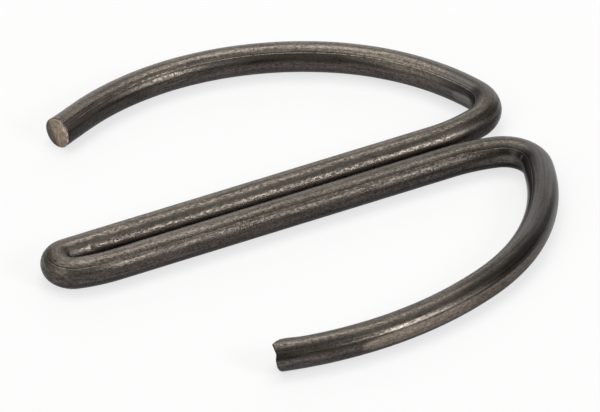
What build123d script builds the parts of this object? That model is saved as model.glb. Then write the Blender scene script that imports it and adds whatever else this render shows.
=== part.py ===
from build123d import *

import math
import os

# One length of round spring wire, folded double into two legs and bent back into two open arms.
# Millimetres and degrees. The origin is the socket's axis, in the middle plane of the wire.
# +X runs along the legs from the fold to the bends, the left arm is on +Y and +Z is up.
# Every radius below is the inside radius of its bend.

# Wire
wire_diameter = 3.175

# Fold that joins the legs, and the wide arc by which the right leg eases into it
fold_reach = 29.75
fold_radius = 0.13
ease_radius = 14.4
ease_angle = 15.0

# Gentle lead-out and tight bend that turn each leg into its arm
lead_out_radius = 16.3
bend_radius = 1.9
left_lead_out_angle = 18.5
right_lead_out_angle = 16.0

# Depth of the land that the bending pin pressed into the inside of each bend
pin_press = 0.1

# Left arm: the seat about the origin, then a wider sweep and a straight tip
left_seat_radius = 22.7
left_seat_angle = 38.9
left_sweep_radius = 27.4
left_sweep_angle = 57.5
left_tip_length = 3.6

# Right arm, which lies a little closer and opens wider
right_seat_radius = 22.0
right_seat_angle = 50.7
right_sweep_radius = 37.7
right_sweep_angle = 36.1
right_tip_length = 0.65

# Sheared ends: the slope of the blade's travel, its turn about that travel, and each cut's outline
# Outline points are shares of the wire diameter, along the wire past its nominal end and across it with the travel
left_blade_slope = -18.8
left_blade_turn = 0.0
left_burr_share = (-0.015, 0.55)
left_start_share = (-0.132, -0.55)
right_blade_slope = 53.6
right_blade_turn = 11.5
right_roll_start_share = (-0.42, 0.53)
right_lip_share = (0.075, 0.385)
right_notch_share = (-0.008, 0.06)
right_bulge_share = (0.032, -0.13)
right_foot_share = (0.017, -0.36)
right_heel_share = (-0.036, -0.45)
right_sole_share = (-0.16, -0.53)

# Length by which the wire is left long before it is sheared, and by which each cut runs past it
overrun = 3.2

wire_radius = wire_diameter / 2


def centreline(inside_radius):
    """Radius of the wire's axis in a bend of this inside radius."""
    return inside_radius + wire_radius


def ahead(run, length):
    """Straight run that carries on from the end of another."""
    return Line(run @ 1, run @ 1 + (run % 1) * length)


def around(run, inside_radius, turn):
    """Arc that carries on from the end of another run, positive turns to the left."""
    return JernArc(run @ 1, run % 1, centreline(inside_radius), turn)


# Spacing of the legs, as the fold and its ease leave it
ease_rise = centreline(ease_radius) * (1 - math.cos(math.radians(ease_angle)))
fold_spread = centreline(fold_radius) * (1 + math.cos(math.radians(ease_angle)))
leg_offset = (fold_spread + ease_rise) / 2
fold_tip = (wire_radius - fold_reach, leg_offset - centreline(fold_radius))


def bend_centre(side, lead_out_angle, seat_radius):
    """Centre of the bend that touches both the lead-out and the seat."""
    lead_rise = (lead_out_radius - bend_radius) * math.cos(math.radians(lead_out_angle))
    offset = leg_offset + centreline(lead_out_radius) - lead_rise
    return Vector(math.sqrt((seat_radius - bend_radius) ** 2 - offset**2), side * offset)


def arm_runs(side, leg_start, lead_out_angle, seat_radius, seat_angle, sweep_radius, sweep_angle, tip_length):
    """Runs of one leg and its arm, on the left for side 1 and on the right for side -1."""
    centre = bend_centre(side, lead_out_angle, seat_radius)
    lead_run = (lead_out_radius - bend_radius) * math.sin(math.radians(lead_out_angle))
    bend_turn = 90 - lead_out_angle + math.degrees(math.atan2(abs(centre.Y), centre.X))

    leg = Line(leg_start, (centre.X - lead_run, side * leg_offset))
    lead_out = around(leg, lead_out_radius, side * lead_out_angle)
    bend = around(lead_out, bend_radius, side * bend_turn)
    seat = around(bend, seat_radius, side * seat_angle)
    sweep_out = around(seat, sweep_radius, side * sweep_angle)
    tip = ahead(sweep_out, tip_length)
    return [leg, lead_out, bend, seat, sweep_out, tip]


def bending_pin(side, lead_out_angle, seat_radius):
    """Round pin that a bend was formed around, as deep in the wire as it pressed."""
    pin = Cylinder(bend_radius + pin_press, wire_diameter + overrun)
    return Pos(bend_centre(side, lead_out_angle, seat_radius)) * pin


def end_frame(tip, side, blade_slope, blade_turn):
    """Frame at an arm's nominal end: Y along the travel of the shear blade, X turned about it from the wire."""
    along = tip % 1
    inward = along.rotate(Axis.Z, side * 90)
    slope = math.radians(blade_slope)
    turn = math.radians(blade_turn)
    travel = inward * math.cos(slope) + Vector(0, 0, 1) * math.sin(slope)
    outward = along * math.cos(turn) + along.cross(travel) * math.sin(turn)
    return Plane(origin=tip @ 1, x_dir=outward, z_dir=outward.cross(travel))


def of_wire(share):
    """Point of an end's outline, from its shares of the wire diameter."""
    return Vector(share[0] * wire_diameter, share[1] * wire_diameter)


def waste_beyond(frame, edges):
    """Solid that a shear cut takes away: all that lies past the cut's outline."""
    first = edges[0] @ 0
    last = edges[-1] @ 1
    far = wire_diameter + overrun
    top = math.copysign(far, first.Y)
    border = Polyline(last, (last.X, -top), (far, -top), (far, top), (first.X, top), first)
    return extrude(frame * make_face(edges + [border]), amount=far, both=True)


# Route of the wire, from the left arm's tip through the fold to the right arm's tip
left_fold = JernArc(fold_tip, (0, 1), centreline(fold_radius), -90)
right_fold = JernArc(fold_tip, (0, -1), centreline(fold_radius), 90 - ease_angle)
right_ease = around(right_fold, ease_radius, ease_angle)
left_runs = arm_runs(
    1, left_fold @ 1, left_lead_out_angle, left_seat_radius, left_seat_angle,
    left_sweep_radius, left_sweep_angle, left_tip_length,
)
right_runs = arm_runs(
    -1, right_ease @ 1, right_lead_out_angle, right_seat_radius, right_seat_angle,
    right_sweep_radius, right_sweep_angle, right_tip_length,
)
left_spare = ahead(left_runs[-1], overrun)
right_spare = ahead(right_runs[-1], overrun)
route = Wire([left_spare, *left_runs, left_fold, right_fold, right_ease, *right_runs, right_spare])

# Left end: one clean slanting face
left_blade = end_frame(left_runs[-1], 1, left_blade_slope, left_blade_turn)
left_face = Line(of_wire(left_burr_share), of_wire(left_start_share))
left_waste = waste_beyond(left_blade, [left_face])

# Right end: rolled over along its top to a lip, with a notch under it
right_blade = end_frame(right_runs[-1], -1, right_blade_slope, right_blade_turn)
right_roll = TangentArc(of_wire(right_roll_start_share), of_wire(right_lip_share), tangent=(1, 0))
right_face = Polyline(
    of_wire(right_lip_share), of_wire(right_notch_share), of_wire(right_bulge_share),
    of_wire(right_foot_share), of_wire(right_heel_share), of_wire(right_sole_share),
)
right_waste = waste_beyond(right_blade, [right_roll, right_face])

section = Plane(origin=left_spare @ 1, z_dir=left_spare % 1) * Circle(wire_radius)
left_pin = bending_pin(1, left_lead_out_angle, left_seat_radius)
right_pin = bending_pin(-1, right_lead_out_angle, right_seat_radius)
retaining_ring = sweep(section, path=route) - left_pin - right_pin - left_waste - right_waste

os.makedirs("parts", exist_ok=True)
export_step(retaining_ring, "parts/retaining_ring.step")
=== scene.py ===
import math

import bpy
import numpy as np
from mathutils import Matrix, Vector, noise


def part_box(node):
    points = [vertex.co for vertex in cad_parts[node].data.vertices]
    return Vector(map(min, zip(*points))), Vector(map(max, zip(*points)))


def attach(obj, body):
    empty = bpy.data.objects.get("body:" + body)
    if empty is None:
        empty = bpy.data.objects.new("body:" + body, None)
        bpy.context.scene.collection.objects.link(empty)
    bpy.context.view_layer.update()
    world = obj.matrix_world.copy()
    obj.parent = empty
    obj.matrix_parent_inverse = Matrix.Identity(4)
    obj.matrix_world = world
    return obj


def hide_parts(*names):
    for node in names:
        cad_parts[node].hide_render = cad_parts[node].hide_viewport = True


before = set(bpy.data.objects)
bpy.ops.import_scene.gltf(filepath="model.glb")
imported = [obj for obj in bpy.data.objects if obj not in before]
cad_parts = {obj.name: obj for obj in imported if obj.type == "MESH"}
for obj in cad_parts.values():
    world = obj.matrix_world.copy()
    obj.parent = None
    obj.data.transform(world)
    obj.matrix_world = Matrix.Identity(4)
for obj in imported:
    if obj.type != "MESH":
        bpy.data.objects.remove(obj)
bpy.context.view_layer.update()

# The ring is one length of round spring wire. It is drawn here as a straight wire with its sheared ends,
# and then bent along its route, so every mark keeps its place along the wire and around it.
# Along runs in millimetres from the left arm's tip, through the fold, to the right arm's tip.
# Around is in degrees: 0 is the left of that travel, 90 is up.

low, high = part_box("retaining_ring")

mm = 0.001

# Sizes of the wire's route, in millimetres and degrees, with the inside radius of each bend
wire_radius = (high.z - low.z) / 2 / mm
wire_diameter = 2 * wire_radius
fold_reach = -low.x / mm
fold_radius = 0.13
ease_radius = 14.4
ease_angle = 15.0
lead_out_radius = 16.3
bend_radius = 1.9
left_arm = {
    "lead_out": 18.5, "seat_radius": 22.7, "seat": 38.9,
    "sweep_radius": 27.4, "sweep": 57.5, "tip": 3.6,
}
right_arm = {
    "lead_out": 16.0, "seat_radius": 22.0, "seat": 50.7,
    "sweep_radius": 37.7, "sweep": 36.1, "tip": 0.65,
}

# Depth of the land that the bending pin pressed into each bend, and how softly the land ends
pin_press = 0.1
pin_edge = 0.02

# Shear cuts: the slope of the blade's travel, its turn about that travel, and the outline that it left
# An outline is in shares of the wire's diameter: a place across the wire, with the travel,
# and how far past the nominal end the cut lies there
left_blade_slope = -18.8
left_blade_turn = 0.0
left_cut = ((-0.55, -0.132), (0.55, -0.015))
right_blade_slope = 53.6
right_blade_turn = 11.5
right_cut = (
    (-0.53, -0.16), (-0.45, -0.036), (-0.36, 0.017),
    (-0.13, 0.032), (0.06, -0.008), (0.385, 0.075),
)
right_roll_start = (0.53, -0.42)

# Torn grain of the sheared faces: its depth, its grains a millimetre and the width of rim that it spares,
# how its finer grains fall off, its middle and swing in that depth, and each end's layer of the noise
torn_depth = 0.05
torn_grains = 2.2
torn_rim = 0.3
torn_fall, torn_step, torn_layers = 0.6, 2.0, 5
torn_middle, torn_swing = 0.7, 0.5
torn_layer = {"left": 7.0, "right": 3.0}

# How finely the wire is drawn: steps in millimetres, and counts of columns, rows and rings
# The die line has columns of its own, in shares of its width from its middle
route_step = 0.05
row_step = 0.32
bend_row_step = 0.16
bend_margin = 1.0
fold_half = 3.0
columns = 92
die_line_columns = np.array([-2.2, -1.2, -0.5, 0, 0.5, 1.2, 2.2])
end_zone = 2.2 * wire_radius
end_rows = 14
end_row_crowding = 0.6
cap_rings = 22
cap_ring_crowding = 0.8

# Columns run around from the underside, where the finish has its seam
underside = -90

# Layout of the bake map: the strips that the flank is laid out in, the shares left clear at their ends
# and sides, and the share of its square that a sheared face fills
bake_strips = 5
map_margin = 0.01
strip_margin = 0.02
cap_share = 0.95


def turned(degrees):
    """Unit direction at an angle from +X, in the plane of the ring."""
    return np.array([math.cos(math.radians(degrees)), math.sin(math.radians(degrees))])


def centreline(inside_radius):
    """Radius of the wire's axis in a bend of this inside radius."""
    return inside_radius + wire_radius


ease_rise = centreline(ease_radius) * (1 - math.cos(math.radians(ease_angle)))
fold_spread = centreline(fold_radius) * (1 + math.cos(math.radians(ease_angle)))
leg_offset = (fold_spread + ease_rise) / 2
fold_tip = np.array([wire_radius - fold_reach, leg_offset - centreline(fold_radius)])


def bend_centre(side, arm):
    """Centre of the bend that touches both the lead-out and the seat."""
    lead_rise = (lead_out_radius - bend_radius) * math.cos(math.radians(arm["lead_out"]))
    offset = leg_offset + centreline(lead_out_radius) - lead_rise
    return np.array([math.sqrt((arm["seat_radius"] - bend_radius) ** 2 - offset**2), side * offset])


class Walk:
    """The wire's axis, walked from the fold outwards in small steps."""

    def __init__(self, start, heading):
        self.points = [start]
        self.headings = [heading]

    def arc(self, radius, turn):
        """Walks an arc, to the left for a positive turn."""
        steps = max(1, math.ceil(radius * math.radians(abs(turn)) / route_step))
        chord = 2 * radius * math.sin(math.radians(abs(turn)) / steps / 2)
        for _ in range(steps):
            self.points.append(self.points[-1] + chord * turned(self.headings[-1] + turn / steps / 2))
            self.headings.append(self.headings[-1] + turn / steps)

    def straight(self, length):
        """Walks straight ahead."""
        steps = max(1, math.ceil(length / route_step))
        for _ in range(steps):
            self.points.append(self.points[-1] + length / steps * turned(self.headings[-1]))
            self.headings.append(self.headings[-1])


def walk_arm(walk, side, arm):
    """Walks a leg and its arm, left for side 1, right for -1. Returns its bend's first and last step."""
    centre = bend_centre(side, arm)
    lead_run = (lead_out_radius - bend_radius) * math.sin(math.radians(arm["lead_out"]))
    bend_turn = 90 - arm["lead_out"] + math.degrees(math.atan2(abs(centre[1]), centre[0]))
    walk.straight(centre[0] - lead_run - walk.points[-1][0])
    walk.arc(centreline(lead_out_radius), side * arm["lead_out"])
    start = len(walk.points)
    walk.arc(centreline(bend_radius), side * bend_turn)
    end = len(walk.points)
    walk.arc(centreline(arm["seat_radius"]), side * arm["seat"])
    walk.arc(centreline(arm["sweep_radius"]), side * arm["sweep"])
    walk.straight(arm["tip"])
    return start, end


left_walk = Walk(fold_tip, 90)
left_walk.arc(centreline(fold_radius), -90)
left_bend_start, left_bend_end = walk_arm(left_walk, 1, left_arm)

right_walk = Walk(fold_tip, -90)
right_walk.arc(centreline(fold_radius), 90 - ease_angle)
right_walk.arc(centreline(ease_radius), ease_angle)
right_bend_start, right_bend_end = walk_arm(right_walk, -1, right_arm)

# The whole route, from the left tip to the right tip
route = np.array(left_walk.points[::-1] + right_walk.points[1:])
left_headings = [degrees - 180 for degrees in left_walk.headings[::-1]]
route_heading = np.array(left_headings + right_walk.headings[1:])
route_along = np.concatenate([[0], np.cumsum(np.linalg.norm(np.diff(route, axis=0), axis=1))])
wire_length = route_along[-1]
fold_step = len(left_walk.points) - 1
fold_along = route_along[fold_step]
fold_zone = (fold_along - fold_half, fold_along + fold_half)
left_bend_along = (route_along[fold_step - left_bend_end], route_along[fold_step - left_bend_start])
right_bend_along = (route_along[fold_step + right_bend_start], route_along[fold_step + right_bend_end])


def bent(straight):
    """Places of the straight wire's points once it is bent: along, left and up become X, Y and Z."""
    along = np.clip(straight[:, 0], 0, wire_length)
    beyond = straight[:, 0] - along
    angle = np.radians(np.interp(along, route_along, route_heading))
    ahead = np.stack([np.cos(angle), np.sin(angle)], 1)
    left = np.stack([-np.sin(angle), np.cos(angle)], 1)
    x = np.interp(along, route_along, route[:, 0])
    y = np.interp(along, route_along, route[:, 1])
    plan = np.stack([x, y], 1) + beyond[:, None] * ahead + straight[:, 1:2] * left
    return np.concatenate([plan, straight[:, 2:3]], 1)


def pressed_by_pin(places, along, side, arm, reach):
    """The inside of a bend flattened on the pin that it was bent around."""
    centre = bend_centre(side, arm)
    out = places[:, :2] - centre
    distance = np.linalg.norm(out, axis=1)
    near = (along > reach[0] - wire_diameter) & (along < reach[1] + wire_diameter)
    pin = bend_radius + pin_press
    rounded = (distance + pin + np.sqrt((distance - pin) ** 2 + pin_edge**2)) / 2
    scale = np.where(near, rounded / np.maximum(distance, pin_edge), 1)
    moved = places.copy()
    moved[:, :2] = centre + out * scale[:, None]
    return moved


def left_outline(share):
    """Left cut: one clean slant."""
    return np.interp(share, *zip(*left_cut))


def right_outline(share):
    """Right cut: rolled over along its top to a lip, with a notch under it."""
    lip, lip_reach = right_cut[-1]
    top, roll_reach = right_roll_start
    fall, run = top - lip, lip_reach - roll_reach
    roll_size = (fall**2 + run**2) / (2 * fall)
    drop = np.clip(top - share, 0, fall)
    roll = roll_reach + np.sqrt(drop * (2 * roll_size - drop))
    return np.where(share > lip, roll, np.interp(share, *zip(*right_cut)))


def past_end(left, up, slope, turn, outline):
    """How far past the nominal end a sheared face lies, at a point of the section."""
    slope, turn = math.radians(slope), math.radians(turn)
    across = up * math.sin(slope) - left * math.cos(slope)
    beside = -left * math.sin(slope) - up * math.cos(slope)
    return (outline(across / wire_diameter) * wire_diameter - beside * math.sin(turn)) / math.cos(turn)


def end_along(left, up, end):
    """Along of the sheared face over a point of the section."""
    if end == "left":
        return -past_end(left, up, left_blade_slope, left_blade_turn, left_outline)
    return wire_length + past_end(left, up, right_blade_slope, right_blade_turn, right_outline)


# Marks that the drawing die, the bending tools and wear left on the wire, in millimetres and degrees
die_line = 129.5
die_line_width = 1.5
die_line_depth = 0.03
waviness = 0.012
waves_along, waves_across = 0.35, 1.1
nicks = (
    # along, around, length, width, depth
    (99.75, 35.0, 0.14, 0.3, 0.09),
    (96.9, 37.5, 0.14, 0.16, 0.06),
    (29.1, 128.0, 0.1, 0.2, 0.03),
    (92.4, 39.0, 0.12, 0.12, 0.04),
)
# The largest nicks, darkened in the finish as painted shade
shaded_nicks = nicks[:2]

# Rust spots: along, around, radius
rust_spots = ((115.6, 188, 0.33), (106.6, 181, 0.13), (158.2, 148, 0.3))

# Flat rubbed on the outside of the right arm, its tan partly a painted floor reflection: it comes in slowly
# and stops short at a round end
# It fades out past its edge, and its depth comes in over the slope and its colour over the line, in degrees
rubbed_start, rubbed_full, rubbed_end = 169.0, 185.0, 197.7
rubbed_middle, rubbed_half = 2.0, 24.0
rubbed_nose = 2.4
rubbed_depth = 0.05
rubbed_fade, rubbed_slope, rubbed_line = 1.5, 14.0, 3.0

# Metal lifted beside the shear cuts, at the left rim and in a crest behind the right roll
lift_height, lift_reach, lift_middle = 0.07, 1.3, 20.0
crest_height, crest_reach, crest_middle, crest_back = 0.13, 1.0, 155.0, 1.3
bulge_sharpness = 4


def eased(value, start, end):
    """Rises smoothly from 0 to 1 as the value goes from start to end."""
    share = np.clip((value - start) / (end - start), 0, 1)
    return share * share * (3 - 2 * share)


def between(value, start, end, soft):
    """1 from start to end, eased over this much on both sides."""
    return eased(value, start - soft, start + soft) * (1 - eased(value, end - soft, end + soft))


def apart(first, second):
    """Angle between two places around the wire."""
    return abs((first - second + 180) % 360 - 180)


def rubbed(along, degrees, edge):
    """How far the wire is rubbed at a place, where the patch comes in over this angle from its edge."""
    into_nose = np.clip((along - rubbed_end + rubbed_nose) / rubbed_nose, 0, 1)
    half = rubbed_half * np.sqrt(1 - into_nose**2)
    inside = eased(half - apart(degrees, rubbed_middle), -rubbed_fade, edge)
    return inside * eased(along, rubbed_start, rubbed_full) * (along < rubbed_end)


def bulge(away, reach, degrees, middle):
    """Share of a bulge beside a cut: full in its middle, fading along and around."""
    facing_middle = np.clip(np.cos(np.radians(degrees - middle)), 0, 1)
    return np.exp(-((away / reach) ** 2)) * facing_middle**bulge_sharpness


def surface_depth(along, degrees):
    """Depth of the drawn surface under the full radius. Only the metal lifted by the shears stands up."""
    left = np.cos(np.radians(degrees)) * wire_radius * waves_across
    up = np.sin(np.radians(degrees)) * wire_radius * waves_across
    waves = np.array([noise.noise(place) for place in zip(along * waves_along, left, up)])
    depth = waviness * (0.5 + 0.5 * waves)
    from_line = apart(degrees, die_line) / die_line_width
    depth += die_line_depth * np.exp(-(from_line**2))
    for mark_along, mark_around, length, width, deep in nicks:
        ahead = (along - mark_along) / length
        aside = np.radians(apart(degrees, mark_around)) * wire_radius / width
        depth += deep * np.exp(-(ahead**2) - aside**2)
    depth += rubbed_depth * rubbed(along, degrees, rubbed_slope)
    depth -= lift_height * bulge(along, lift_reach, degrees, lift_middle)
    behind_roll = wire_length - crest_back - along
    return depth - crest_height * bulge(behind_roll, crest_reach, degrees, crest_middle)


# How light the wire is along its length: a place along it and a tone
tone_along = (
    (0, 1.1), (8, 1.05), (44, 1.05), (50, 0.9), (58, 1.12), (100, 1.12), (106, 1.15), (118, 1.0),
    (130, 0.88), (148, 0.82), (156, 0.9), (166, 0.86), (198, 0.86), (201, 0.78), (206, 0.78),
)

# Places painted lighter or darker than the wire around them, mostly painted highlights where lamps reflect
# and painted shade, partly the steel's own tone: from and to along, from and to around, tone
toned_places = (
    # left arm
    (-2, 12, 152, 205, 0.5),
    (-2, 6, 165, 205, 0.78),
    (10, 23, 141, 164, 1.25),
    (-2, 14, 108, 121, 1.3),
    (-2, 52, 121, 131, 1.5),
    (18, 40, 90, 107, 1.26),
    (28, 38, 104, 118, 1.15),
    (16, 44, 184, 200, 1.15),
    (18, 32, 164, 178, 0.82),
    # left bend and leg
    (44, 58, -75, 24, 0.3),
    (60, 98, 26, 32, 1.2),
    (60, 98, 39, 56, 0.82),
    (74, 98, 58, 70, 1.35),
    (60, 94, 75, 86, 0.85),
    (62, 94, 0, 24, 1.5),
    (69, 87, 10, 30, 1.4),
    # right leg
    (114, 128, 55, 70, 1.6),
    (105, 138, 65, 94, 1.28),
    (106, 116, 97, 105, 0.78),
    (126, 150, 97, 104, 0.82),
    (106, 148, 112, 122, 1.3),
    (105, 113, 136, 147, 1.3),
    (115, 150, 139, 147, 0.76),
    (104, 112, 124, 134, 0.86),
    (104, 112, 150, 160, 1.15),
    (104, 112, 168, 182, 0.86),
    (112, 150, 150, 160, 1.45),
    (105, 150, 163, 178, 0.8),
    (107, 160, 190, 230, 0.7),
    # right bend and arm
    (151, 158, 94, 120, 0.8),
    (153, 159, 120, 182, 0.8),
    (161, 167, 140, 152, 1.25),
    (156, 159, 114, 152, 0.5),
    (147, 159, 190, 235, 0.55),
    (158, 166, 138, 168, 1.3),
    (157, 165, 164, 182, 1.5),
    (157, 167, 14, 36, 0.7),
    (157, 174, 45, 105, 1.15),
    (166, 174, 128, 155, 0.5),
    (171, 185, -30, 30, 0.58),
    (174, 181, 30, 62, 0.6),
    (175, 184, 62, 92, 0.72),
    (184, 197, 19, 25, 0.85),
    (183, 195, 27, 44, 2.1),
    (190, 197, 0, 16, 1.35),
    (187, 197, 52, 68, 1.25),
    (186, 197, 76, 94, 1.35),
    (198, 208, 38, 74, 0.85),
    (198, 208, 81, 93, 1.9),
    (190, 208, 100, 130, 0.75),
    (200, 208, -60, 14, 1.5),
)

# Roughest length, and how much smoother the rest is
rough_length = (57.0, 101.0)
evenness = 0.28

# Places that the bending tools and rubbing smoothed: from and to along, from and to around, and how far
smooth_places = (
    (45.0, 52.0, -95, 275, 1.0),
    (156.0, 176.0, -95, 275, 1.0),
    (182.0, 197.0, 28, 43, 0.4),
)

# Lands that the bending pins left: along, around, half length, half width, tone
lands = ((48.9, 174.0, 1.6, 24.0, 1.9), (154.4, 175.0, 2.4, 24.0, 1.6))

# How softly these places end, along in millimetres and around in degrees
# A land ends between two squared shares of its half size
rough_soft = 4.0
smooth_soft = (2.5, 4.0)
tone_soft = (2.0, 3.5)
land_soft = (0.6, 1.3)

# Painted shade: the lower half of the wire is darker: by how much, and between which heights, in shares of
# the radius
low_shade = 0.3
low_from, low_to = 0.35, -0.15


def patch(along, degrees, place, soft):
    """1 inside a place of the wire, given from and to along it and around it, and eased at its edges."""
    start, end, first, last = place
    return between(along, start, end, soft[0]) * between(degrees, first, last, soft[1])


def worn_and_painted_light(along, degrees):
    """Wear at places of the wire, and painted light: how far it is rubbed, how smooth it is, and how light,
    with painted highlights and painted shade.
    """
    smooth = evenness * (1 - between(along, *rough_length, rough_soft))
    for *place, share in smooth_places:
        smooth = np.maximum(smooth, share * patch(along, degrees, place, smooth_soft))
    tone = np.interp(along, *zip(*tone_along))
    for *place, shade in toned_places:
        tone = tone * (1 + (shade - 1) * patch(along, degrees, place, tone_soft))
    for land_along, land_around, half_length, half_width, shade in lands:
        off = ((along - land_along) / half_length) ** 2 + (apart(degrees, land_around) / half_width) ** 2
        tone = tone * (1 + (shade - 1) * (1 - eased(off, *land_soft)))
    # Painted shade: darker on the lower half of the wire
    tone = tone * (1 - low_shade * eased(np.sin(np.radians(degrees)), low_from, low_to))
    return np.stack([rubbed(along, degrees, rubbed_line), smooth, tone], 1)


# Columns of the drawn wire, in degrees, closer together at the die line
spread_columns = underside + np.arange(columns) * 360 / columns
column_degrees = np.sort(np.concatenate([spread_columns, die_line + die_line_width * die_line_columns]))
column_left = np.cos(np.radians(column_degrees)) * wire_radius
column_up = np.sin(np.radians(column_degrees)) * wire_radius
column_count = len(column_degrees)

# Each column and the one beside it, all the way round
column_pairs = [(column, (column + 1) % column_count) for column in range(column_count)]


def row_places():
    """Along of each row of the drawn flank, closer together in the bends, between the two end zones."""
    tight = (left_bend_along, right_bend_along, fold_zone)
    spots = [end_zone]
    while spots[-1] < wire_length - end_zone:
        here = spots[-1]
        in_bend = any(start - bend_margin < here < end + bend_margin for start, end in tight)
        spots.append(here + (bend_row_step if in_bend else row_step))
    spots[-1] = wire_length - end_zone
    return np.array(spots)


def drawn_wire():
    """Along of each column's point, row by row. The first and last rows are the sheared faces' rims."""
    left_zone = end_zone
    right_zone = wire_length - end_zone
    shares = np.linspace(0, 1, end_rows) ** end_row_crowding
    rows = []
    for share in shares[::-1][:-1]:
        rows.append(left_zone + share * (end_along(column_left, column_up, "left") - left_zone))
    for along in row_places():
        rows.append(np.full(column_count, along))
    for share in shares[1:]:
        rows.append(right_zone + share * (end_along(column_left, column_up, "right") - right_zone))
    return np.array(rows)


def sheared_face(end):
    """Rings of a sheared face from its rim inwards, and its middle point, with the torn grain."""
    rings = []
    for share in (1 - np.linspace(0, 1, cap_rings + 1)[1:-1]) ** cap_ring_crowding:
        left = column_left * share
        up = column_up * share
        rings.append(np.stack([end_along(left, up, end), left, up], 1))
    middle = np.zeros((1, 3))
    middle[0, 0] = end_along(np.zeros(1), np.zeros(1), end)[0]
    points = np.concatenate(rings + [middle])
    outward = -1 if end == "left" else 1
    for point in points:
        _, left, up = point
        grain_place = (left * torn_grains, up * torn_grains, torn_layer[end])
        torn = noise.fractal(grain_place, torn_fall, torn_step, torn_layers)
        inside_rim = min(1, (wire_radius - math.hypot(left, up)) / torn_rim)
        point[0] -= outward * torn_depth * inside_rim * (torn_middle + torn_swing * torn)
    return points


def flank_faces(row_count):
    """Faces of the flank, row by row."""
    faces = []
    for here in range(0, (row_count - 1) * column_count, column_count):
        there = here + column_count
        for column, beside in column_pairs:
            faces.append((here + column, here + beside, there + beside, there + column))
    return faces


def cap_faces(rim, start):
    """Faces of a sheared end, from the rim to the middle, with their corners in the left end's order."""
    faces = []
    middle = start + (cap_rings - 1) * column_count
    outer = rim
    for inner in range(start, middle, column_count):
        for column, beside in column_pairs:
            faces.append((outer + column, inner + column, inner + beside, outer + beside))
        outer = inner
    for column, beside in column_pairs:
        faces.append((outer + column, middle, outer + beside))
    return faces


def keep_on_points(mesh, name, vectors):
    """Keeps a vector for each point, for the finish."""
    layer = mesh.attributes.new(name, "FLOAT_VECTOR", "POINT")
    layer.data.foreach_set("vector", vectors.astype(np.float32).ravel())


def add_bake_map(mesh, along_rows, kept):
    """Lays the flank out in strips, one over the other, and the two sheared faces side by side on top."""
    bands = bake_strips + 1
    gaps = len(along_rows) - 1
    strip_of_row = np.arange(gaps) * bake_strips // gaps
    share = np.append((column_degrees - underside) / 360, 1.0)
    maps = []
    for row, strip in enumerate(strip_of_row):
        rows = np.flatnonzero(strip_of_row == strip)
        first = along_rows[rows[0]].min()
        last = along_rows[rows[-1] + 1].max()
        across = map_margin + (1 - 2 * map_margin) * (along_rows[row:row + 2] - first) / (last - first)
        here, there = [np.append(edge, edge[0]) for edge in across]
        height = (strip + strip_margin + (1 - 2 * strip_margin) * share) / bands
        for column in range(column_count):
            beside = column + 1
            maps += [(here[column], height[column]), (here[beside], height[beside])]
            maps += [(there[beside], height[beside]), (there[column], height[column])]
    flank_corners = len(maps)
    corners = np.zeros(len(mesh.loops), dtype=np.int32)
    mesh.loops.foreach_get("vertex_index", corners)
    size = cap_share / bands / wire_diameter
    for corner in corners[flank_corners:]:
        along, left, up = kept[corner]
        middle = 0.5 / bands if along < wire_length / 2 else 1.5 / bands
        maps.append((middle + left * size, (bake_strips + 0.5) / bands + up * size))
    layer = mesh.uv_layers.new(name="OFBake")
    layer.data.foreach_set("uv", np.array(maps, dtype=np.float32).ravel())


def wire_mesh():
    """The bent wire as one closed mesh, with its straight places, and its wear and painted light, kept for
    the finish.
    """
    along_rows = drawn_wire()
    row_count = len(along_rows)
    along = along_rows.ravel()
    degrees = np.tile(column_degrees, row_count)
    full = np.stack([np.cos(np.radians(degrees)), np.sin(np.radians(degrees))], 1)
    radius = wire_radius - surface_depth(along, degrees)
    flank = np.column_stack([along, full * radius[:, None]])
    even_flank = np.column_stack([along, full * wire_radius])
    left_cap = sheared_face("left")
    right_cap = sheared_face("right")
    straight = np.concatenate([flank, left_cap, right_cap])
    kept = np.concatenate([even_flank, left_cap, right_cap])

    # The right cap faces the other way, so its corners are in reverse order
    last_row = len(flank) - column_count
    faces = flank_faces(row_count) + cap_faces(0, len(flank))
    faces += [corners[::-1] for corners in cap_faces(last_row, len(flank) + len(left_cap))]

    places = bent(straight)
    places = pressed_by_pin(places, straight[:, 0], 1, left_arm, left_bend_along)
    places = pressed_by_pin(places, straight[:, 0], -1, right_arm, right_bend_along)

    mesh = bpy.data.meshes.new("retaining_ring_wire")
    mesh.from_pydata((places * mm).tolist(), [], faces)
    mesh.polygons.foreach_set("use_smooth", [True] * len(mesh.polygons))
    keep_on_points(mesh, "straight_wire", kept)
    kept_around = (np.degrees(np.arctan2(kept[:, 2], kept[:, 1])) - underside) % 360 + underside
    keep_on_points(mesh, "wear_and_painted_light", worn_and_painted_light(kept[:, 0], kept_around))
    add_bake_map(mesh, along_rows, kept)
    return mesh


class Tone:
    """A value, colour or vector in a finish. Sums of values are written as Python expressions."""

    def __init__(self, finish, socket):
        self.finish = finish
        self.socket = socket

    def maths(self, operation, *values):
        """Result of a Math node on these values."""
        return self.finish.node("ShaderNodeMath", {"operation": operation}, dict(enumerate(values)))

    def larger(self, other):
        """The larger of two values."""
        return self.maths("MAXIMUM", self, other)

    def __add__(self, other):
        return self.maths("ADD", self, other)

    __radd__ = __add__

    def __sub__(self, other):
        return self.maths("SUBTRACT", self, other)

    def __rsub__(self, other):
        return self.maths("SUBTRACT", other, self)

    def __mul__(self, other):
        return self.maths("MULTIPLY", self, other)

    __rmul__ = __mul__

    def __pow__(self, other):
        return self.maths("POWER", self, other)

    def __abs__(self):
        return self.maths("ABSOLUTE", self)


# Sockets of a Mix node for colours: its share, its two colours and its result
mix_share, mix_first, mix_second, mix_result = 0, 6, 7, 2


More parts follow.
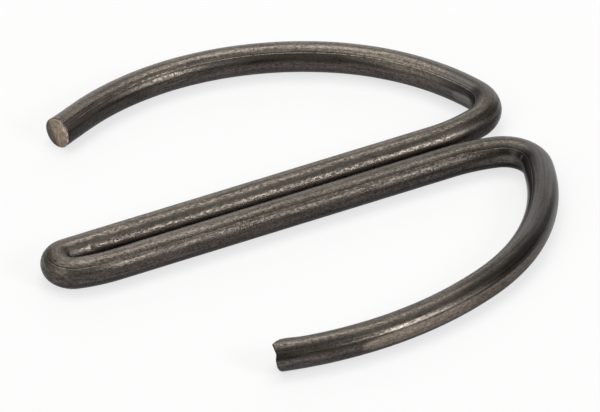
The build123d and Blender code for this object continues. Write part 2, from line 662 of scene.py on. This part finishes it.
class Finish:
    """A material's nodes, made one at a time."""

    def __init__(self, name):
        self.material = bpy.data.materials.new(name)
        self.material.use_nodes = True
        self.tree = self.material.node_tree
        self.tree.nodes.clear()

    def node(self, kind, settings, values, result=0):
        """Adds a node: its settings, then its sockets' values or links. Gives a result, if it has one."""
        made = self.tree.nodes.new(kind)
        for name, value in settings.items():
            setattr(made, name, value)
        for key, value in values.items():
            if isinstance(value, Tone):
                self.tree.links.new(value.socket, made.inputs[key])
            else:
                made.inputs[key].default_value = value
        return Tone(self, made.outputs[result]) if made.outputs else None

    def kept(self, name):
        """The vector that the mesh keeps for each point under this name."""
        return self.node("ShaderNodeAttribute", {"attribute_name": name}, {}, "Vector")

    def parts(self, vector):
        """The three values of a vector."""
        split = self.node("ShaderNodeSeparateXYZ", {}, {0: vector}).socket.node
        return [Tone(self, out) for out in split.outputs]

    def ramp(self, value, start, end, first=0.0, last=1.0):
        """Eases from first to last as the value goes from start to end."""
        settings = {"interpolation_type": "SMOOTHSTEP", "clamp": True}
        values = {"Value": value, "From Min": start, "From Max": end, "To Min": first, "To Max": last}
        return self.node("ShaderNodeMapRange", settings, values)

    def grain(self, vector, along, across, detail, rough, warp=0.0):
        """Noise with this many grains a millimetre along the wire and across it."""
        settings = {"operation": "MULTIPLY"}
        place = self.node("ShaderNodeVectorMath", settings, {0: vector, 1: (along, across, across)})
        values = {"Vector": place, "Scale": 1.0, "Detail": detail, "Roughness": rough, "Distortion": warp}
        return self.node("ShaderNodeTexNoise", {"normalize": True}, values)

    def blend(self, share, first, second):
        """Colour between two, by a share."""
        settings = {"data_type": "RGBA", "blend_type": "MIX", "clamp_factor": True}
        values = {mix_share: share, mix_first: first, mix_second: second}
        return self.node("ShaderNodeMix", settings, values, mix_result)

    def lit(self, colour, light):
        """Colour made lighter or darker."""
        return self.node("ShaderNodeVectorMath", {"operation": "SCALE"}, {0: colour, "Scale": light})

    def finished(self, shader):
        """The material, with this shader on its surface."""
        self.node("ShaderNodeOutputMaterial", {}, {"Surface": shader})
        return self.material


def opaque(red, green, blue):
    """A colour, in linear light."""
    return (red, green, blue, 1.0)


# Colours of the wire: drawn steel from above and a cooler copy low down as painted shade, smoothed places,
# rubbed places partly lightened as a painted floor reflection, painted shade in nicks, and rust
warm_steel = opaque(0.1015, 0.088, 0.0755)
painted_shade_steel = opaque(0.1, 0.0868, 0.0822)
smooth_steel = opaque(0.0925, 0.0842, 0.0792)
rubbed_tan_and_sheen = opaque(0.31, 0.258, 0.212)
nick_painted_shade = opaque(0.02, 0.018, 0.016)
rust_brown = opaque(0.085, 0.037, 0.019)

# Colours of the sheared faces: torn, burnished where the blade went in, and pale chips where it left, which
# paint a rim highlight
torn_tan = opaque(0.325, 0.258, 0.2)
burnished_grey = opaque(0.12, 0.107, 0.093)
pale_rim_highlight = opaque(0.55, 0.46, 0.38)

# How much each grain lightens and darkens the steel, and how far smooth places, rubbed places and
# the right leg lose it
fleck_light, smooth_fleck_loss, leg_fleck_loss = 2.4, 0.8, 0.7
speck_light, smooth_speck_loss, rub_speck_loss = 2.6, 0.6, 0.8
streak_light, rub_streak_loss = 1.1, 0.6
draw_line_light = 1.0
mottle_light = 0.5
torn_light = 2.2

# Specks show most on the right leg: their share elsewhere, what the leg adds to it, and where along
# the wire the leg comes in and goes out. The roughest length has none of them
speck_share, leg_speck_share = 0.5, 0.5
leg_start = (fold_along - 2, fold_along + 4)
leg_end = (156, 146)
speck_smooth = (0.0, 0.25)

# Heights between which the steel turns to its cooler painted shade colour, and how smooth it is where it
# turns grey
painted_shade_height = (wire_radius * 0.4, -wire_radius * 0.1)
grey_smooth = (0.4, 1.0)

# The die line's groove, darkened as painted shade, and the lip beside it, lightened as a painted highlight:
# half widths in degrees, from outside to full
# Mottle breaks the lip up: from and to of the mottle, then of the lip's strength
groove_edge, groove_painted_shade = (1.8, 0.6), 0.25
lip_beside, lip_edge, lip_painted_highlight = 2.8, (1.9, 0.6), 0.55
lip_mottle, lip_strength = (0.35, 0.55), (0.5, 1.0)

# Painted shade in the largest nicks, and rust: how far they cover the steel
# A spot's raggedness and the edges that it comes in between are in shares of its radius
nick_shade_cover = 0.85
rust_cover = 0.95
spot_ragged, spot_outside, spot_inside = 2.0, 1.2, 0.5

# Sheared faces: the blade's direction across them, how the torn grain is squeezed with it and beside it,
# and radii between which the face comes in, and its chipped rim, pale as a painted rim highlight
blade_left, blade_up = 0.86, 0.5
torn_with_blade, torn_beside_blade = 1.1, 0.75
face_edge = (wire_radius * 0.997, wire_radius * 0.983)
highlight_rim = (wire_radius * 0.86, wire_radius * 0.95)

# Places across a sheared face, with the blade: the ragged burnished side, the chipped half of the rim
# and the chipped far side, pale as a painted rim highlight. Chips show only on the grain's ridges
burnish_ragged, burnished_side = 1.2, (0.35, 0.95)
highlight_chipped_half, highlight_chipped_side = (0.1, -0.6), (-0.7, -1.2)
highlight_chip_ridges = (0.42, 0.6)

# Bump: its distance, and how high each grain stands in it
bump_distance = 0.035 * mm
fleck_height, streak_height, draw_line_height, torn_height = 0.42, 0.15, 0.12, 2.5

# Roughness of the drawn steel, and what each kind of place adds to it
drawn_rough = 0.19
pit_rough, mottle_rough, draw_line_rough, smooth_rough = 0.18, 0.1, 0.05, 0.04
fold_rough, rub_rough, rust_rough, face_rough = 0.12, 0.16, 0.4, 0.2
pit_edge = (0.6, 0.4)
rough_fold = (3.0, 1.4)
rust_metal_loss = 0.9


class SpringWire(Finish):
    """Drawn spring steel, dark from tempering, with speckle, draw lines, wear, rust and sheared faces, and
    painted highlights and shade.
    """

    def __init__(self):
        super().__init__("dark_spring_steel")
        place = self.kept("straight_wire")
        self.along, self.left, self.up = self.parts(place)
        self.rub, self.smooth, self.tone = self.parts(self.kept("wear_and_painted_light"))
        degrees = self.up.maths("ARCTAN2", self.up, self.left) * (180 / math.pi)
        self.around = degrees.maths("WRAP", degrees, underside + 360, underside)
        self.from_axis = (self.left * self.left + self.up * self.up) ** 0.5

        self.flecks = self.grain(place, along=2.2, across=4.6, detail=2.0, rough=0.9)
        self.specks = self.grain(place, along=5.0, across=6.0, detail=1.0, rough=0.6)
        self.streaks = self.grain(place, along=0.25, across=3.6, detail=2.0, rough=0.5)
        self.draw_lines = self.grain(place, along=0.01, across=3.6, detail=2.0, rough=0.6)
        self.mottle = self.grain(place, along=0.3, across=0.9, detail=2.0, rough=0.5, warp=0.3)
        self.speckled = 1 - smooth_fleck_loss * self.smooth
        self.rust = self.rusted()

        self.face = self.ramp(self.from_axis, *face_edge)
        self.with_blade = self.left * blade_left - self.up * blade_up
        beside_blade = self.left * blade_up + self.up * blade_left
        torn_axes = [self.along, self.with_blade * torn_with_blade, beside_blade * torn_beside_blade]
        torn_place = self.node("ShaderNodeCombineXYZ", {}, dict(enumerate(torn_axes)))
        self.torn = self.grain(torn_place, along=0.3, across=3.0, detail=3.0, rough=0.6)

    def spot(self, mark_along, mark_around, size):
        """A ragged round spot at a place of the wire, of about this radius in millimetres."""
        ahead = self.along - mark_along
        aside = (self.around - mark_around) * (math.pi / 180 * wire_radius)
        away = (ahead * ahead + aside * aside) ** 0.5
        ragged = away + (self.flecks - 0.5) * (spot_ragged * size)
        return self.ramp(ragged, size * spot_outside, size * spot_inside)

    def rusted(self):
        """1 in the rust spots."""
        rust, *others = [self.spot(*mark) for mark in rust_spots]
        for other in others:
            rust = rust.larger(other)
        return rust

    def drawn_light(self):
        """How light the drawn surface is: its grains, its tone with painted highlights and shade, and the
        die line's painted shade and highlight.
        """
        on_right_leg = self.ramp(self.along, *leg_start) * self.ramp(self.along, *leg_end)
        fine = self.ramp(self.smooth, *speck_smooth) * (1 - smooth_speck_loss * self.smooth)
        fine = fine * (1 - rub_speck_loss * self.rub) * (speck_share + leg_speck_share * on_right_leg)
        light = 1 + (fleck_light - leg_fleck_loss * on_right_leg) * (self.flecks - 0.5) * self.speckled
        light = light + speck_light * (self.specks - 0.5) * fine
        light = light + streak_light * (self.streaks - 0.5) * (1 - rub_streak_loss * self.rub)
        light = light + draw_line_light * (self.draw_lines - 0.5) + mottle_light * (self.mottle - 0.5)
        groove = self.ramp(abs(self.around - die_line), *groove_edge)
        lip = self.ramp(abs(self.around - (die_line + lip_beside)), *lip_edge)
        lip = lip * self.ramp(self.mottle, *lip_mottle, *lip_strength)
        return light * self.tone * (1 - groove_painted_shade * groove + lip_painted_highlight * lip)

    def drawn_colour(self):
        """Warm dark steel, cooler low down as painted shade and where tools smoothed it, tan where it is
        rubbed, partly as a painted floor reflection.
        """
        drawn = self.blend(self.ramp(self.up, *painted_shade_height), warm_steel, painted_shade_steel)
        drawn = self.blend(self.ramp(self.smooth, *grey_smooth), drawn, smooth_steel)
        return self.lit(self.blend(self.rub, drawn, rubbed_tan_and_sheen), self.drawn_light())

    def marked(self, colour):
        """A colour with painted shade in the largest nicks, and with the rust spots."""
        for mark_along, mark_around, length, width, _ in shaded_nicks:
            nick_shade = self.spot(mark_along, mark_around, (length + width) / 2)
            colour = self.blend(nick_shade * nick_shade_cover, colour, nick_painted_shade)
        return self.blend(self.rust * rust_cover, colour, rust_brown)

    def face_colour(self):
        """Torn tan metal in ridges, burnished where the blade went in, and chipped where it left, pale as a
        painted rim highlight.
        """
        burnished = self.ramp(self.with_blade + burnish_ragged * (self.torn - 0.5), *burnished_side)
        rim = self.ramp(self.from_axis, *highlight_rim) * self.ramp(self.with_blade, *highlight_chipped_half)
        highlight_chips = rim.larger(self.ramp(self.with_blade, *highlight_chipped_side)) * self.ramp(self.torn, *highlight_chip_ridges)
        colour = self.blend(highlight_chips, self.blend(burnished, torn_tan, burnished_grey), pale_rim_highlight)
        return self.lit(colour, 1 + torn_light * (self.torn - 0.5))

    def bump(self):
        """Fine relief of the grains and of the torn faces."""
        height = self.flecks * self.speckled * fleck_height + self.streaks * streak_height
        height = height + self.draw_lines * draw_line_height + self.torn * self.face * torn_height
        values = {"Strength": 1.0, "Distance": bump_distance, "Height": height}
        return self.node("ShaderNodeBump", {}, values)

    def roughness(self):
        """Rougher in pits, in the fold, and where the wire is rubbed, rusted or sheared."""
        pits = self.ramp(self.flecks, *pit_edge)
        in_fold = self.ramp(abs(self.along - fold_along), *rough_fold)
        rough = drawn_rough + pit_rough * pits * self.speckled + mottle_rough * self.mottle
        rough = rough + draw_line_rough * self.draw_lines + smooth_rough * self.smooth
        rough = rough + fold_rough * in_fold + rub_rough * self.rub
        return rough + rust_rough * self.rust + face_rough * self.face

    def made(self):
        """The finished material."""
        surface = {
            "Base Color": self.blend(self.face, self.marked(self.drawn_colour()), self.face_colour()),
            "Metallic": 1 - rust_metal_loss * self.rust,
            "Roughness": self.roughness(),
            "Normal": self.bump(),
        }
        return self.finished(self.node("ShaderNodeBsdfPrincipled", {}, surface))


# Floor paper: its colour and roughness, and how far it is backlit to the camera and in reflections
paper_white = opaque(0.93, 0.93, 0.94)
paper_rough = 0.9
backlit_shares = {"Is Camera Ray": 0.7, "Is Glossy Ray": 0.2, "Is Transmission Ray": 0.2}
floor_size = 3.0


def floor_finish():
    """Plain pale paper. To the camera and in reflections it is part backlit, so its shadow stays light."""
    paper = Finish("pale_floor")
    backlit = 0
    for ray, share in backlit_shares.items():
        backlit = backlit + share * paper.node("ShaderNodeLightPath", {}, {}, ray)
    surface = {"Base Color": paper_white, "Roughness": paper_rough}
    lit = paper.node("ShaderNodeBsdfPrincipled", {}, surface)
    glow = paper.node("ShaderNodeEmission", {}, {"Color": opaque(1, 1, 1), "Strength": 1.0})
    return paper.finished(paper.node("ShaderNodeMixShader", {}, {0: backlit, 1: lit, 2: glow}))


# The photograph's view: turn and tilt of the camera, and the point of the ring's plane that it looks at
view_turn = math.radians(-28.188)
view_tilt = math.radians(34.961)
view_centre = Vector((-1.823, -1.648, 0)) * mm
view_distance = 1270 * mm
photo_width = 600
photo_pixels_per_mm = 9.9672
sensor = 36
furthest_seen = 20

view_right = Vector((math.cos(view_turn), math.sin(view_turn), 0))
view_ahead = Vector((-math.sin(view_turn), math.cos(view_turn), 0))
view_back = -view_ahead * math.cos(view_tilt) + Vector((0, 0, math.sin(view_tilt)))
view_up = view_back.cross(view_right)

# Soft lamps: bearing and height in degrees, distance, width and tall in metres, radiance, colour
# A bearing is clockwise from straight away from the camera
white = (1, 1, 1)
warm_white = (1, 0.99, 0.95)
softboxes = {
    "overhead_softbox": (-35, 73, 0.8, 0.85, 0.55, 2.05, warm_white),
    "main_softbox": (5, 61, 0.8, 0.5, 0.26, 2.4, warm_white),
    "right_softbox": (119, 31, 0.6, 0.18, 0.18, 9, white),
    "right_card": (120, 62, 0.8, 0.6, 0.35, 0.5, white),
    "left_softbox": (-130, 33, 0.7, 0.38, 0.65, 1.3, white),
    "back_card": (5, 16, 0.9, 1.1, 0.6, 1.1, white),
}
world_level = 0.2


def in_scene(thing):
    """Puts an object in the scene."""
    bpy.context.scene.collection.objects.link(thing)
    return thing


def facing(right, up, back, place):
    """Matrix of a camera or lamp that looks along -back."""
    matrix = Matrix((right, up, back)).transposed().to_4x4()
    matrix.translation = place
    return matrix


def add_camera():
    """Camera at the photograph's view."""
    camera = bpy.data.cameras.new("photo_view")
    camera.sensor_width = sensor
    camera.lens = photo_pixels_per_mm * view_distance / mm * sensor / photo_width
    camera.clip_end = furthest_seen
    eye = in_scene(bpy.data.objects.new("photo_view", camera))
    eye.matrix_world = facing(view_right, view_up, view_back, view_centre + view_back * view_distance)
    bpy.context.scene.camera = eye


def add_softbox(name, bearing, height, distance, width, tall, radiance, colour):
    """Rectangular soft lamp aimed at the ring."""
    bearing, height = math.radians(bearing), math.radians(height)
    level = view_ahead * math.cos(bearing) + view_right * math.sin(bearing)
    back = level * math.cos(height) + Vector((0, 0, math.sin(height)))
    right = Vector((0, 0, 1)).cross(back).normalized()
    lamp = bpy.data.lights.new(name, "AREA")
    lamp.shape = "RECTANGLE"
    lamp.size = width
    lamp.size_y = tall
    lamp.energy = radiance * math.pi * width * tall
    lamp.color = colour
    box = in_scene(bpy.data.objects.new(name, lamp))
    box.matrix_world = facing(right, back.cross(right), back, view_centre + back * distance)
    box.visible_camera = False


def add_world():
    """Even grey light from all round."""
    world = bpy.data.worlds.new("studio")
    bpy.context.scene.world = world
    world.use_nodes = True
    background = world.node_tree.nodes["Background"]
    background.inputs["Color"].default_value = opaque(world_level, world_level, world_level)
    background.inputs["Strength"].default_value = 1.0


def add_floor():
    """Flat paper under the ring."""
    half = floor_size / 2
    corners = [(-half, -half, low.z), (half, -half, low.z), (half, half, low.z), (-half, half, low.z)]
    mesh = bpy.data.meshes.new("floor")
    mesh.from_pydata(corners, [], [(0, 1, 2, 3)])
    mesh.materials.append(floor_finish())
    floor = in_scene(bpy.data.objects.new("floor", mesh))


ring = in_scene(bpy.data.objects.new("retaining_ring_wire", wire_mesh()))
ring.data.materials.append(SpringWire().made())
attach(ring, "root")
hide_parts("retaining_ring")

bpy.context.scene.view_settings.view_transform = "Standard"
add_camera()
add_floor()
add_world()
for name, softbox in softboxes.items():
    add_softbox(name, *softbox)
